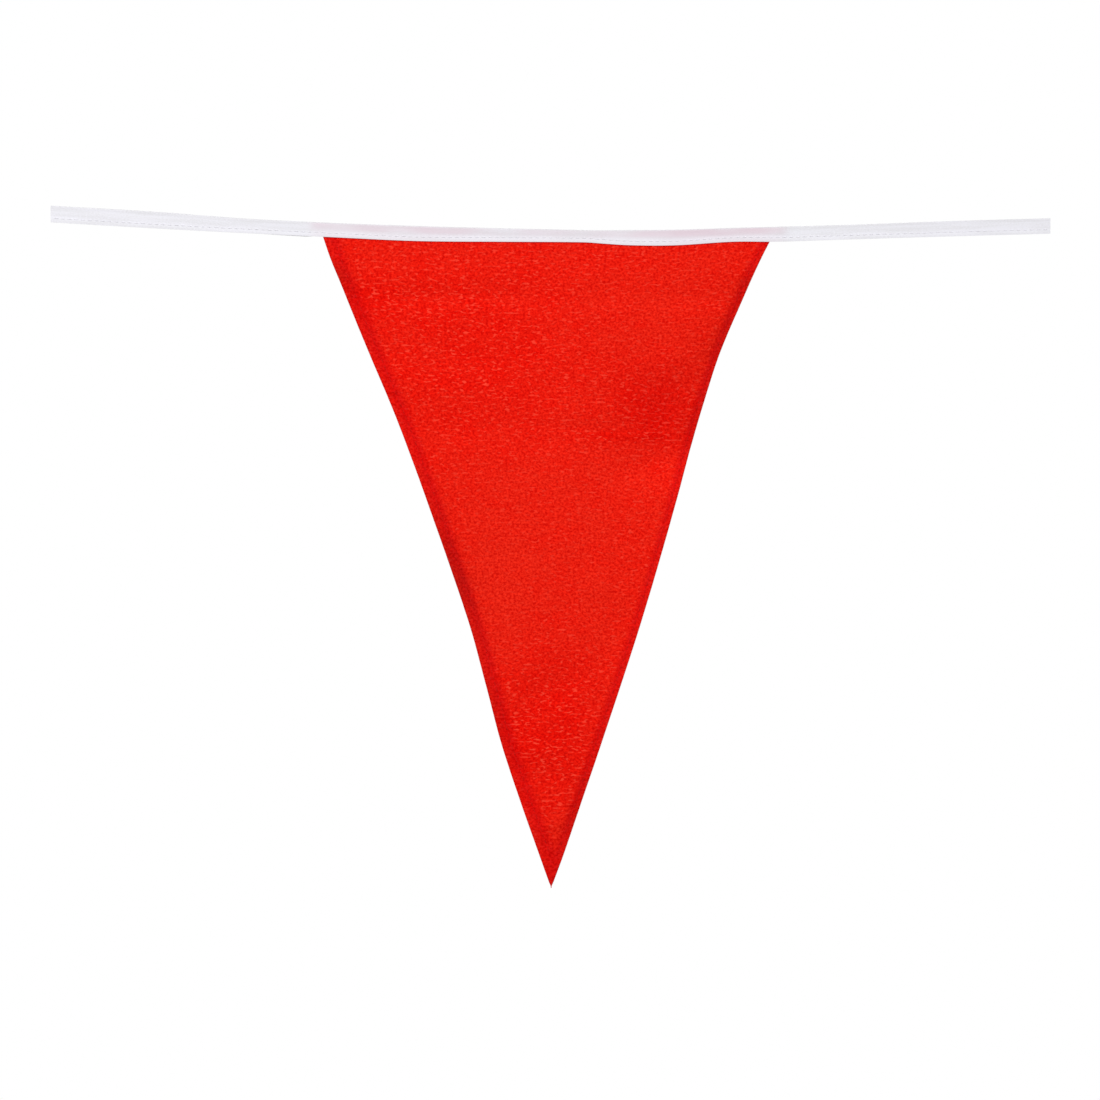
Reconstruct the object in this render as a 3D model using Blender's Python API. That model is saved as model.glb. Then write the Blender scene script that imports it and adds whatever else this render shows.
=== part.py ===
"""A bunting: one hemmed triangular pennant whose top edge is held inside a ribbon folded along its length.

The tape runs along X and sags in the middle. The pennant hangs down -Z and shows its face to -Y.
The origin is on the fold along the tape's top, halfway between its cut ends.
All sizes are in millimetres and are turned to metres where a mesh is made.
"""

import math
from collections import namedtuple

import bmesh
import bpy

METRES = 0.001

# Driving sizes of the ribbon and the cloth
TAPE_LENGTH = 449.0
RIBBON_WIDTH = 13.4
TAPE_THICKNESS = 1.0
CLOTH_THICKNESS = 1.0
HEM_THICKNESS = 1.8
HEM_WIDTH = 5.2
HEM_STEP = 0.8
CLEARANCE = 0.3
PENNANT_TIP = 294.8

# Where the cloth starts inside the fold, and how far the tape's sag is still seen in it
TOP_IN_TAPE = 1.9
SAG_REACH = 60.0

# How the tape opens for what lies between its leaves
OPENING_RUN = 6.0
OPENING_SPARE = 1.5

# Folds start clear of the tape's leaves
FOLDS_START = 11.0
FOLDS_FULL = 26.0

# Mesh density
PENNANT_ROWS = 46
TAPE_CELLS = 90
LEAF_CELLS = 2
FOLD_CELLS = 4

# The tape from end to end: x, height of its top, depth of its front leaf, and how far back it lies
TapeSection = namedtuple("TapeSection", "x top leaf back")
TAPE_SECTIONS = (
    TapeSection(-TAPE_LENGTH / 2, 11.0, 7.6, 0.8),
    TapeSection(-180.0, 8.4, 7.6, 0.8),
    TapeSection(-140.0, 5.3, 6.7, 0.0),
    TapeSection(-100.0, 3.1, 6.5, -0.8),
    TapeSection(-60.0, 1.6, 6.8, -0.7),
    TapeSection(-20.0, 0.6, 6.1, -0.2),
    TapeSection(15.0, -0.1, 5.6, 0.2),
    TapeSection(24.0, -0.2, 6.1, 0.3),
    TapeSection(36.0, -0.1, 6.9, 0.4),
    TapeSection(56.0, 0.1, 7.1, 0.6),
    TapeSection(82.0, 0.9, 6.3, 0.6),
    TapeSection(101.0, 1.4, 6.8, 0.5),
    TapeSection(120.0, 1.9, 6.7, 0.2),
    TapeSection(140.0, 2.5, 6.7, 0.0),
    TapeSection(180.0, 4.0, 6.9, 0.7),
    TapeSection(TAPE_LENGTH / 2, 5.3, 7.0, 0.7),
)

# The pennant's two sides, drawn in by their hems: drop below the origin, left side and right side
Sides = namedtuple("Sides", "drop left right")
PENNANT_SIDES = (
    Sides(-4.0, -104.4, 103.0),
    Sides(0.0, -103.0, 101.0),
    Sides(14.0, -98.2, 93.9),
    Sides(30.0, -91.7, 86.8),
    Sides(55.0, -81.4, 76.2),
    Sides(80.0, -70.8, 68.1),
    Sides(105.0, -61.2, 60.9),
    Sides(130.0, -52.4, 53.9),
    Sides(155.0, -43.9, 46.7),
    Sides(180.0, -35.5, 39.1),
    Sides(205.0, -28.7, 31.0),
    Sides(230.0, -22.1, 22.7),
    Sides(255.0, -13.8, 14.3),
    Sides(280.0, -5.0, 5.8),
    Sides(PENNANT_TIP, 0.2, 0.4),
)

# How the hanging cloth leaves the upright: drop, how far back its middle lies, and its turn to the right
Hang = namedtuple("Hang", "drop back turn_deg")
PENNANT_HANG = (
    Hang(0.0, 0.0, 0.0),
    Hang(40.0, -0.8, 0.5),
    Hang(90.0, -2.4, 1.0),
    Hang(140.0, -4.0, -0.5),
    Hang(190.0, -4.4, -1.5),
    Hang(240.0, -4.6, -1.5),
    Hang(270.0, -3.8, -0.5),
    Hang(PENNANT_TIP, -1.4, 0.0),
)

# Creases and hollows go back, ridges come forward. Each has a centre, a half length along its line, a
# reach above and below that line, the line's turn up to the right, and its depth.
Fold = namedtuple("Fold", "x drop half_length above below turn_deg depth")
FOLDS = (
    # the pressed creases across the cloth
    Fold(-32.0, 30.5, 58.0, 9.0, 5.0, 0.5, 0.9),
    Fold(72.0, 31.5, 20.0, 10.0, 5.0, -4.0, 1.0),
    Fold(-36.0, 57.0, 30.0, 8.0, 7.0, -3.0, 0.5),
    Fold(-24.0, 91.0, 50.0, 13.0, 8.0, 0.0, 1.0),
    # the hollow beside the right hem
    Fold(54.0, 101.0, 22.0, 32.0, 11.0, 8.0, 7.6),
    # the fold down the middle
    Fold(9.0, 80.0, 90.0, 10.0, 12.0, 90.0, -0.9),
    # the slack above the tip
    Fold(-4.0, 211.0, 26.0, 9.0, 7.0, 38.0, 1.3),
    Fold(0.0, 246.0, 22.0, 9.0, 7.0, -12.0, 1.1),
)

# Where an edge curls back: drop of the middle, half height, width of the strip that curls, and depth.
# The side is -1 on the left and 1 on the right.
Curl = namedtuple("Curl", "side drop half_height strip depth")
EDGE_CURLS = (
    Curl(-1, 24.0, 14.0, 13.0, 3.0),
    Curl(-1, 72.0, 26.0, 9.0, 1.2),
    Curl(-1, 160.0, 30.0, 15.0, 6.0),
    Curl(-1, 222.0, 24.0, 9.0, 2.4),
    Curl(1, 28.0, 14.0, 9.0, 0.7),
    Curl(1, 58.0, 27.0, 24.0, 5.0),
    Curl(1, 94.0, 20.0, 11.0, 2.4),
    Curl(1, 200.0, 40.0, 14.0, -1.2),
    Curl(1, 262.0, 14.0, 8.0, 1.8),
)

# Colours seen on the object, linear, with their roughness
CLOTH_RED = (0.79, 0.011, 0.005, 1.0)
CLOTH_ROUGHNESS = 0.72
TAPE_WHITE = (0.84, 0.83, 0.89, 1.0)
TAPE_ROUGHNESS = 0.6


def smooth_column(rows, value, column):
    """Read a table's column at a value of its first column, along one smooth curve through its rows."""
    keys = [row[0] for row in rows]
    points = [getattr(row, column) for row in rows]
    index = 0
    while index < len(rows) - 2 and value > keys[index + 1]:
        index += 1

    def slope(at):
        low = max(at - 1, 0)
        high = min(at + 1, len(rows) - 1)
        return (points[high] - points[low]) / (keys[high] - keys[low])

    run = keys[index + 1] - keys[index]
    step = min(max((value - keys[index]) / run, 0.0), 1.0)
    square = step * step
    cube = square * step
    return (
        (2 * cube - 3 * square + 1) * points[index]
        + (cube - 2 * square + step) * run * slope(index)
        + (3 * square - 2 * cube) * points[index + 1]
        + (cube - square) * run * slope(index + 1)
    )


def ease(value, start, end):
    """Go smoothly from 0 at the start to 1 at the end."""
    step = min(max((value - start) / (end - start), 0.0), 1.0)
    return step * step * (3 - 2 * step)


def bell(distance, reach):
    """Give 1 at no distance and fade to nearly 0 at twice the reach."""
    return math.exp(-((distance / reach) ** 2))


def tape_top(x):
    """Height of the fold along the tape's top."""
    return smooth_column(TAPE_SECTIONS, x, "top")


def tape_back(x):
    """How far back the middle of the tape lies."""
    return smooth_column(TAPE_SECTIONS, x, "back")


def side_x(side, drop):
    """Place of the pennant's left (-1) or right (1) side at a drop."""
    return smooth_column(PENNANT_SIDES, drop, "left" if side < 0 else "right")


def fold_depth(x, drop):
    """Sum of the creases, hollows and ridges at a place on the cloth."""
    depth = 0.0
    for fold in FOLDS:
        turn = math.radians(fold.turn_deg)
        right = x - fold.x
        up = fold.drop - drop
        along = right * math.cos(turn) + up * math.sin(turn)
        across = up * math.cos(turn) - right * math.sin(turn)
        reach = fold.above if across > 0 else fold.below
        depth += fold.depth * bell(along, fold.half_length) * bell(across, reach)
    return depth


def curl_depth(x, drop):
    """How far back the two edges curl at a place on the cloth."""
    depth = 0.0
    for curl in EDGE_CURLS:
        from_edge = abs(x - side_x(curl.side, drop))
        inward = max(1 - from_edge / curl.strip, 0.0)
        depth += curl.depth * inward**2 * bell(drop - curl.drop, curl.half_height)
    return depth


def cloth_front(x, drop):
    """Depth of the cloth's face, which is flat between the tape's leaves and folds below them."""
    loose = ease(drop, FOLDS_START, FOLDS_FULL)
    turn = math.radians(smooth_column(PENNANT_HANG, drop, "turn_deg"))
    hang = smooth_column(PENNANT_HANG, drop, "back") + x * math.sin(turn)
    in_tape = tape_back(x) * (1 - ease(drop, FOLDS_START, SAG_REACH))
    folds = fold_depth(x, drop) + curl_depth(x, drop)
    return in_tape - CLOTH_THICKNESS / 2 + loose * (hang + folds)


def cloth_point(x, nominal_drop):
    """Place of the cloth's face for a point on a row, with the row bent to the tape's sag near the top."""
    sag = tape_top(x) * (1 - ease(nominal_drop, 0.0, SAG_REACH))
    drop = nominal_drop - sag
    return x, cloth_front(x, drop), -drop


def row_ends(nominal_drop):
    """Left and right ends of a row, on the sides at the drop where the bent row meets them."""
    bend = 1 - ease(nominal_drop, 0.0, SAG_REACH)
    ends = []
    for side in (-1, 1):
        first = side_x(side, nominal_drop)
        ends.append(side_x(side, nominal_drop - tape_top(first) * bend))
    return ends


def row_places(width, cells):
    """Places across a row: the hem's fold and inner edge at both ends, and even cells between."""
    if cells == 1:
        return [0.0, width]
    if cells == 2:
        return [0.0, width / 2, width]
    if cells == 3:
        hem = min(HEM_WIDTH, (width - HEM_STEP) / 2)
        return [0.0, hem, width - hem, width]
    inner = HEM_WIDTH + HEM_STEP
    plain_cells = cells - 4
    if plain_cells == 0:
        plain = [width / 2]
    else:
        pitch = (width - 2 * inner) / plain_cells
        plain = [inner + pitch * index for index in range(plain_cells + 1)]
    return [0.0, HEM_WIDTH, *plain, width - HEM_WIDTH, width]


def opening(x, from_x, to_x):
    """Give 1 where the tape holds something between two places, and close to 0 beyond them."""
    from_x -= OPENING_SPARE
    to_x += OPENING_SPARE
    before = ease(x, from_x - OPENING_RUN, from_x)
    after = ease(x, to_x, to_x + OPENING_RUN)
    return before * (1 - after)


def tape_section(x):
    """Middle line of the folded ribbon at a place: up the front leaf, over the fold and down the back."""
    top = tape_top(x)
    front_leaf = smooth_column(TAPE_SECTIONS, x, "leaf")
    back_leaf = RIBBON_WIDTH - front_leaf
    hem_run = HEM_WIDTH + HEM_STEP
    left_out = side_x(-1, -top)
    right_out = side_x(1, -top)
    left_in = side_x(-1, back_leaf - top) + hem_run
    right_in = side_x(1, back_leaf - top) - hem_run
    cloth = opening(x, left_out, right_out)
    hem = max(opening(x, left_out, left_in), opening(x, right_in, right_out))
    closed = (CLEARANCE + TAPE_THICKNESS) / 2
    over_cloth = CLOTH_THICKNESS / 2 + CLEARANCE + TAPE_THICKNESS / 2
    front = -(closed + (over_cloth - closed) * cloth)
    back = -front + (HEM_THICKNESS - CLOTH_THICKNESS) * hem
    radius = (back - front) / 2
    middle = (back + front) / 2
    arc_height = -TAPE_THICKNESS / 2 - radius

    points = []
    for index in range(LEAF_CELLS):
        part = index / LEAF_CELLS
        points.append((front, -front_leaf + (front_leaf + arc_height) * part))
    for index in range(FOLD_CELLS + 1):
        angle = math.pi * (1 - index / FOLD_CELLS)
        points.append((middle + radius * math.cos(angle), arc_height + radius * math.sin(angle)))
    for index in range(1, LEAF_CELLS + 1):
        part = index / LEAF_CELLS
        points.append((back, arc_height - (back_leaf + arc_height) * part))
    return [(tape_back(x) + depth, top + height) for depth, height in points]


def fabric(name, colour, roughness):
    """Make a matt cloth material."""
    material = bpy.data.materials.new(name)
    material.use_nodes = True
    shader = material.node_tree.nodes["Principled BSDF"]
    shader.inputs["Base Color"].default_value = colour
    shader.inputs["Roughness"].default_value = roughness
    shader.inputs["Metallic"].default_value = 0.0
    return material


def finish(name, mesh_data, material, holder):
    """Turn a bmesh into a named, smooth object that hangs from the holder."""
    mesh = bpy.data.meshes.new(name)
    mesh_data.to_mesh(mesh)
    mesh_data.free()
    mesh.shade_smooth()
    mesh.materials.append(material)
    piece = bpy.data.objects.new(name, mesh)
    bpy.context.scene.collection.objects.link(piece)
    piece.parent = holder
    return piece


def build_pennant(holder):
    """Make the cloth with its turned hems as rows of triangles, one cell fewer in each lower row."""
    mesh_data = bmesh.new()
    rows = []
    hem_points = []
    for row in range(PENNANT_ROWS + 1):
        nominal_drop = TOP_IN_TAPE + (PENNANT_TIP - TOP_IN_TAPE) * row / PENNANT_ROWS
        left, right = row_ends(nominal_drop)
        cells = PENNANT_ROWS + 1 - row
        points = []
        for index, place in enumerate(row_places(right - left, cells)):
            corner = cloth_point(left + place, nominal_drop)
            points.append(mesh_data.verts.new([value * METRES for value in corner]))
            hem_points.append(min(index, cells - index) <= 1)
        rows.append(points)
    for upper, lower in zip(rows, rows[1:]):
        for index, point in enumerate(lower):
            mesh_data.faces.new((upper[index], point, upper[index + 1]))
        for index in range(len(lower) - 1):
            mesh_data.faces.new((lower[index], lower[index + 1], upper[index + 1]))

    pennant = finish("pennant", mesh_data, fabric("red_cloth", CLOTH_RED, CLOTH_ROUGHNESS), holder)
    thickness = pennant.vertex_groups.new(name="layers")
    for index, in_hem in enumerate(hem_points):
        share = 1.0 if in_hem else CLOTH_THICKNESS / HEM_THICKNESS
        thickness.add([index], share, "REPLACE")
    layers = pennant.modifiers.new("layers", "SOLIDIFY")
    layers.thickness = HEM_THICKNESS * METRES
    layers.offset = -1.0
    layers.vertex_group = thickness.name
    return pennant


def build_tape(holder):
    """Make the ribbon folded along its length, with its leaves parted where they hold the cloth."""
    mesh_data = bmesh.new()
    sections = []
    for cell in range(TAPE_CELLS + 1):
        x = TAPE_LENGTH * (cell / TAPE_CELLS - 0.5)
        section = [
            mesh_data.verts.new((x * METRES, depth * METRES, height * METRES))
            for depth, height in tape_section(x)
        ]
        sections.append(section)
    for left, right in zip(sections, sections[1:]):
        for index in range(len(left) - 1):
            mesh_data.faces.new((left[index], right[index], right[index + 1], left[index + 1]))

    tape = finish("tape", mesh_data, fabric("white_tape", TAPE_WHITE, TAPE_ROUGHNESS), holder)
    ribbon = tape.modifiers.new("ribbon", "SOLIDIFY")
    ribbon.thickness = TAPE_THICKNESS * METRES
    ribbon.offset = 0.0
    return tape


def main():
    """Clear the scene and build the bunting."""
    for old in list(bpy.data.objects):
        bpy.data.objects.remove(old)
    bunting = bpy.data.objects.new("bunting", None)
    bpy.context.scene.collection.objects.link(bunting)
    build_pennant(bunting)
    build_tape(bunting)


main()
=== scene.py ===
"""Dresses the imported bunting: a hemmed triangle of knitted cloth, sewn into a ribbon folded along its length.

The camera looks along +Y at the cloth's face, with +X to its right and +Z up. The origin is on the
fold along the ribbon's top, halfway between its cut ends. Sizes and places are in millimetres, and
MM turns them to metres where a point or an object is placed. A drop is how far a point lies below
the origin, and a depth is how far it lies behind it.
"""

import logging
import math
from bisect import bisect_right
from dataclasses import dataclass, field
from enum import Enum
from typing import NamedTuple

import bpy
from mathutils import Matrix, Vector, noise


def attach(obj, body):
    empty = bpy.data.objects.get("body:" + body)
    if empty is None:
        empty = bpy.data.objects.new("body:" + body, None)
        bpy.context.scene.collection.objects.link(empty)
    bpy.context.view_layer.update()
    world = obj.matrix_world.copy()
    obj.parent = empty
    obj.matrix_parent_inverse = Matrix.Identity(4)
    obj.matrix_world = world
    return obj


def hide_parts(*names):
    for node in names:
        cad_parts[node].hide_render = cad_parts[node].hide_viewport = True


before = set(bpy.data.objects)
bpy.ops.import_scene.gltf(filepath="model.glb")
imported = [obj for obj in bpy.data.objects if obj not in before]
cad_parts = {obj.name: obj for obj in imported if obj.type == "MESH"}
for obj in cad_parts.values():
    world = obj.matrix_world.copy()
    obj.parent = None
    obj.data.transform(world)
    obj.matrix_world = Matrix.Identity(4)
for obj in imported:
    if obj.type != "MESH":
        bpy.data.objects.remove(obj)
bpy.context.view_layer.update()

log = logging.getLogger("bunting")

MM = 0.001


class Side(Enum):
    """The two slanted sides of the pennant, as seen from the front."""

    LEFT = -1
    RIGHT = 1


class Face(Enum):
    """The two faces of the cloth, as the sign of the way that each one looks along Y."""

    FRONT = -1
    BACK = 1


# Curves, and the soft steps and swells that every shape here is put together from


def ease(value: float, start: float, end: float) -> float:
    """Go smoothly from 0 at the start to 1 at the end.

    Args:
        value: Where it is read.
        start: Where the step starts.
        end: Where the step ends.

    Returns:
        The height of the step, from 0 to 1.
    """
    step = min(max((value - start) / (end - start), 0.0), 1.0)
    return step * step * (3 - 2 * step)


def bell(distance: float, reach: float) -> float:
    """Give 1 at no distance and fade to nearly 0 at twice the reach.

    Args:
        distance: Distance from the middle of the swell.
        reach: Distance at which a third of it is left.

    Returns:
        The height of the swell, from 0 to 1.
    """
    return math.exp(-((distance / reach) ** 2))


def mottle(x: float, y: float, wide: float, high: float, layer: float) -> float:
    """Read soft, uneven noise at a place.

    Args:
        x: Place along it.
        y: Place across it.
        wide: About how long a swell is along it.
        high: About how long a swell is across it.
        layer: Which layer of the noise is read.

    Returns:
        The noise, between -1 and 1.
    """
    return noise.noise(Vector((x / wide, y / high, layer)))


class SmoothColumn:
    """One column of a table, read along one smooth curve through its rows."""

    def __init__(self, rows: tuple[NamedTuple, ...], column: str) -> None:
        """Take the column and work out the curve's slope at each row.

        Args:
            rows: The table, in the order of its first column.
            column: Name of the column.
        """
        self.keys = [row[0] for row in rows]
        self.points = [getattr(row, column) for row in rows]
        last = len(rows) - 1
        self.slopes = []
        for index in range(last + 1):
            low = max(index - 1, 0)
            high = min(index + 1, last)
            self.slopes.append((self.points[high] - self.points[low]) / (self.keys[high] - self.keys[low]))

    def at(self, value: float) -> float:
        """Read the curve at a value of the table's first column."""
        index = min(max(bisect_right(self.keys, value) - 1, 0), len(self.keys) - 2)
        run = self.keys[index + 1] - self.keys[index]
        step = min(max((value - self.keys[index]) / run, 0.0), 1.0)
        square = step * step
        cube = square * step
        return (
            (2 * cube - 3 * square + 1) * self.points[index]
            + (cube - 2 * square + step) * run * self.slopes[index]
            + (3 * square - 2 * cube) * self.points[index + 1]
            + (cube - square) * run * self.slopes[index + 1]
        )


# The tables of places, as the part's source has them, with the finer folds that only show here


class TapeRow(NamedTuple):
    """The tape at one place: height of its top, depth of its front leaf, and how far back it lies."""

    x: float
    top: float
    leaf: float
    back: float


class SidesRow(NamedTuple):
    """The pennant's left and right sides at one drop."""

    drop: float
    left: float
    right: float


class HangRow(NamedTuple):
    """How the hanging cloth leaves the upright at one drop: how far back, and its turn to the right."""

    drop: float
    back: float
    turn_deg: float


class Fold(NamedTuple):
    """A crease or hollow (depth above 0) or a ridge (below 0) on a line across the cloth.

    It has a centre, a half length along its line, a reach above and below that line, and the line's
    turn up to the right.
    """

    x: float
    drop: float
    half_length: float
    above: float
    below: float
    turn_deg: float
    depth: float


class Curl(NamedTuple):
    """A stretch where an edge curls back, with the width of the strip that curls."""

    side: Side
    drop: float
    half_height: float
    strip: float
    depth: float


class Patch(NamedTuple):
    """A soft patch on the cloth: its middle, its reach aside and down, and its strength."""

    x: float
    drop: float
    wide: float
    high: float
    strength: float

    def at(self, across: float, down: float) -> float:
        """Read the patch at a flat place of the cloth."""
        return self.strength * bell(across - self.x, self.wide) * bell(down - self.drop, self.high)


class HemTurn(NamedTuple):
    """A stretch where a hem is turned back along its inner edge: its strip, and how steep it stands."""

    side: Side
    drop: float
    half_height: float
    strip: float
    slope: float


class Tint(NamedTuple):
    """A stretch of the tape through which more of the red cloth shows."""

    x: float
    reach: float
    more: float


TAPE_ROWS = (
    TapeRow(-224.5, 11.0, 7.6, 0.8),
    TapeRow(-180.0, 8.4, 7.6, 0.8),
    TapeRow(-140.0, 5.3, 6.7, 0.0),
    TapeRow(-100.0, 3.1, 6.5, -0.8),
    TapeRow(-60.0, 1.6, 6.8, -0.7),
    TapeRow(-20.0, 0.6, 6.1, -0.2),
    TapeRow(15.0, -0.1, 5.6, 0.2),
    TapeRow(24.0, -0.2, 6.1, 0.3),
    TapeRow(36.0, -0.1, 6.9, 0.4),
    TapeRow(56.0, 0.1, 7.1, 0.6),
    TapeRow(82.0, 0.9, 6.3, 0.6),
    TapeRow(101.0, 1.4, 6.8, 0.5),
    TapeRow(120.0, 1.9, 6.7, 0.2),
    TapeRow(140.0, 2.5, 6.7, 0.0),
    TapeRow(180.0, 4.0, 6.9, 0.7),
    TapeRow(224.5, 5.3, 7.0, 0.7),
)

SIDES_ROWS = (
    SidesRow(-4.0, -104.4, 103.0),
    SidesRow(0.0, -103.0, 101.0),
    SidesRow(14.0, -98.2, 93.9),
    SidesRow(30.0, -91.7, 86.8),
    SidesRow(55.0, -81.4, 76.2),
    SidesRow(80.0, -70.8, 68.1),
    SidesRow(105.0, -61.2, 60.9),
    SidesRow(130.0, -52.4, 53.9),
    SidesRow(155.0, -43.9, 46.7),
    SidesRow(180.0, -35.5, 39.1),
    SidesRow(205.0, -28.7, 31.0),
    SidesRow(230.0, -22.1, 22.7),
    SidesRow(255.0, -13.8, 14.3),
    SidesRow(280.0, -5.0, 5.8),
    SidesRow(294.8, 0.2, 0.4),
)

HANG_ROWS = (
    HangRow(0.0, 0.0, 0.0),
    HangRow(40.0, -0.8, 0.5),
    HangRow(90.0, -2.4, 1.0),
    HangRow(140.0, -4.0, -0.5),
    HangRow(190.0, -4.4, -1.5),
    HangRow(240.0, -4.6, -1.5),
    HangRow(270.0, -3.8, -0.5),
    HangRow(294.8, -1.4, 0.0),
)

MAIN_FOLDS = (
    # the pressed creases across the cloth
    Fold(-32.0, 30.5, 58.0, 9.0, 5.0, 0.5, 0.9),
    Fold(72.0, 31.5, 20.0, 10.0, 5.0, -4.0, 1.0),
    Fold(-36.0, 57.0, 30.0, 8.0, 7.0, -3.0, 0.5),
    Fold(-24.0, 91.0, 50.0, 13.0, 8.0, 0.0, 1.0),
    # the hollow beside the right hem
    Fold(54.0, 101.0, 22.0, 32.0, 11.0, 8.0, 7.6),
    # the fold down the middle
    Fold(9.0, 80.0, 90.0, 10.0, 12.0, 90.0, -0.9),
    # the slack above the tip
    Fold(-4.0, 211.0, 26.0, 9.0, 7.0, 38.0, 1.3),
    Fold(0.0, 246.0, 22.0, 9.0, 7.0, -12.0, 1.1),
)

FINE_FOLDS = (
    # the sharp lines in the middle of the pressed creases
    Fold(-42.0, 30.0, 26.0, 2.6, 1.6, 0.5, 0.22),
    Fold(66.0, 30.8, 10.0, 2.4, 1.6, -6.0, 0.2),
    Fold(4.0, 88.5, 50.0, 3.0, 1.8, 0.5, 0.25),
    # the ridge that rises to the right across the foot of the hollow
    Fold(39.0, 92.6, 19.0, 1.6, 1.6, 4.0, -0.4),
    # the small upright puckers under the upper crease
    Fold(-34.5, 40.0, 7.0, 1.6, 1.6, 84.0, 0.2),
    Fold(-30.0, 41.5, 7.0, 1.7, 1.7, 88.0, 0.24),
    Fold(-25.5, 40.0, 6.0, 1.6, 1.6, 92.0, 0.18),
    # the swell in the middle of the lower half
    Fold(22.5, 157.0, 10.0, 8.0, 8.0, 20.0, -0.5),
    # the short drags beside the hems and above the tip
    Fold(79.0, 19.0, 8.0, 2.0, 1.6, 28.0, 0.2),
    Fold(-47.0, 132.0, 9.0, 2.4, 2.0, -24.0, 0.22),
    Fold(-33.0, 171.0, 10.0, 2.6, 2.0, -30.0, 0.25),
    Fold(30.0, 176.0, 9.0, 2.4, 2.0, 32.0, 0.2),
    Fold(18.0, 213.0, 9.0, 2.4, 2.0, 38.0, 0.22),
    Fold(2.0, 249.5, 9.0, 2.0, 2.0, -38.0, -0.35),
    Fold(-1.0, 268.0, 8.0, 3.0, 2.4, 24.0, -0.4),
)

CURLS = (
    Curl(Side.LEFT, 24.0, 14.0, 13.0, 3.0),
    Curl(Side.LEFT, 72.0, 26.0, 9.0, 1.2),
    Curl(Side.LEFT, 160.0, 30.0, 15.0, 6.0),
    Curl(Side.LEFT, 222.0, 24.0, 9.0, 2.4),
    Curl(Side.RIGHT, 28.0, 14.0, 9.0, 0.7),
    Curl(Side.RIGHT, 58.0, 27.0, 24.0, 5.0),
    Curl(Side.RIGHT, 94.0, 20.0, 11.0, 2.4),
    Curl(Side.RIGHT, 200.0, 40.0, 14.0, -1.2),
    Curl(Side.RIGHT, 262.0, 14.0, 8.0, 1.8),
)

HEM_TURNS = (
    HemTurn(Side.LEFT, 158.0, 26.0, 5.8, 0.6),
    HemTurn(Side.LEFT, 215.0, 34.0, 5.4, 0.3),
    HemTurn(Side.LEFT, 30.0, 18.0, 5.6, 0.3),
    HemTurn(Side.RIGHT, 36.0, 20.0, 5.4, 0.15),
    HemTurn(Side.RIGHT, 240.0, 40.0, 4.8, 0.15),
)

# Painted glints and sheen: where the painted glints are brighter over a red painted deeper (strength above 0),
# or weaker over a rosier red, as a painted sheen
PAINTED_GLINTS_AND_SHEEN = (
    Patch(-34.0, 56.0, 44.0, 38.0, 0.6),
    Patch(52.0, 78.0, 17.0, 15.0, 0.9),
    Patch(38.0, 92.4, 21.0, 2.0, 1.1),
    Patch(50.0, 42.0, 26.0, 22.0, -0.5),
    Patch(-76.0, 31.0, 18.0, 7.0, 0.8),
    Patch(16.0, 112.0, 60.0, 18.0, -0.4),
    Patch(-24.0, 156.0, 18.0, 34.0, -1.0),
    Patch(16.0, 158.0, 18.0, 30.0, -0.5),
    Patch(-4.0, 224.0, 28.0, 30.0, 0.95),
)

# Where the cloth turns from the light, so that its red is deeper and its yarns glint less
SHELTERS = (
    # the hollow beside the right hem
    Patch(54.0, 80.0, 15.0, 17.0, 0.36),
    # beside the left hem, under the tape
    Patch(-86.0, 38.0, 8.0, 10.0, 0.36),
    # the tip
    Patch(0.0, 292.0, 8.0, 10.0, 0.3),
)

TINTS = (
    Tint(-86.0, 12.0, 0.3),
    Tint(-52.0, 16.0, 0.4),
    Tint(64.0, 20.0, 0.7),
    Tint(92.0, 10.0, 0.3),
)

TAPE_TOP = SmoothColumn(TAPE_ROWS, "top")
TAPE_LEAF = SmoothColumn(TAPE_ROWS, "leaf")
TAPE_BACK = SmoothColumn(TAPE_ROWS, "back")
LEFT_SIDE = SmoothColumn(SIDES_ROWS, "left")
RIGHT_SIDE = SmoothColumn(SIDES_ROWS, "right")
HANG_BACK = SmoothColumn(HANG_ROWS, "back")
HANG_TURN = SmoothColumn(HANG_ROWS, "turn_deg")


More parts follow.
